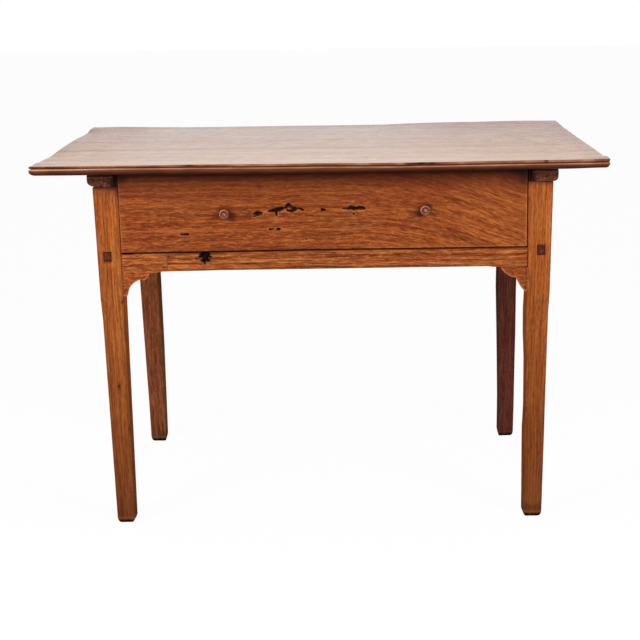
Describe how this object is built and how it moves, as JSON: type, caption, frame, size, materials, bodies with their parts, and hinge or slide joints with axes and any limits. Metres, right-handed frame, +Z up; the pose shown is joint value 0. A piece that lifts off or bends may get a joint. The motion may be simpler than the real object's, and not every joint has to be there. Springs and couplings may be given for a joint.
{
  "type": "tavern table",
  "caption": "Rectangular wooden table with a moulded board top on battens, square tapered legs, a front rail with shaped brackets and a full-width drawer.",
  "frame": {"origin": "on the floor under the middle of the top", "axes": "+X along the table's length to the right seen from the drawer side, +Y from the front to the back, +Z up"},
  "size_m": [1.05, 0.589, 0.7368],
  "materials": {
    "top_wood": "old waxed polish, satin, with a soft sheen",
    "frame_wood": "old oiled and waxed, satin",
    "rail_wood": "old oiled and waxed, satin, coarse grain",
    "drawer_front_wood": "old oiled and waxed, satin, ribbon figure and old worm holes",
    "batten_wood": "dark, worn, nearly matt",
    "inner_wood": "bare, dry and matt",
    "knob_wood": "turned and waxed, satin",
    "peg_wood": "dark end grain",
    "nail_iron": "dark wrought iron"
  },
  "bodies": {
    "frame": {"top_front_board": "top_wood", "top_middle_board": "top_wood", "top_rear_board": "top_wood", "left_batten": "batten_wood", "right_batten": "batten_wood", "front_left_leg": "frame_wood", "front_right_leg": "frame_wood", "rear_left_leg": "frame_wood", "rear_right_leg": "frame_wood", "front_rail": "rail_wood", "rail_patch": "rail_wood", "left_bracket": "frame_wood", "right_bracket": "frame_wood", "left_side_apron": "frame_wood", "right_side_apron": "frame_wood", "rear_apron": "frame_wood", "left_runner": "inner_wood", "right_runner": "inner_wood", "left_guide": "inner_wood", "right_guide": "inner_wood", "left_kicker": "inner_wood", "right_kicker": "inner_wood", "left_drawer_stop": "inner_wood", "right_drawer_stop": "inner_wood", "seam_dowels": "peg_wood", "top_dowels": "peg_wood", "leg_tenon_pegs": "peg_wood", "side_apron_pegs": "peg_wood", "rear_apron_pegs": "peg_wood", "bracket_nails": "nail_iron", "guide_nails": "nail_iron", "kicker_nails": "nail_iron"},
    "drawer": {"drawer_front": "drawer_front_wood", "left_drawer_side": "inner_wood", "right_drawer_side": "inner_wood", "drawer_back": "inner_wood", "drawer_bottom": "inner_wood", "drawer_bottom_nails": "nail_iron", "left_knob": "knob_wood", "right_knob": "knob_wood"}
  },
  "joints": [
    {"name": "drawer_slide", "type": "slide", "parent": "frame", "child": "drawer", "axis": [0, -1, 0], "range_m": [0, 0.3]}
  ]
}
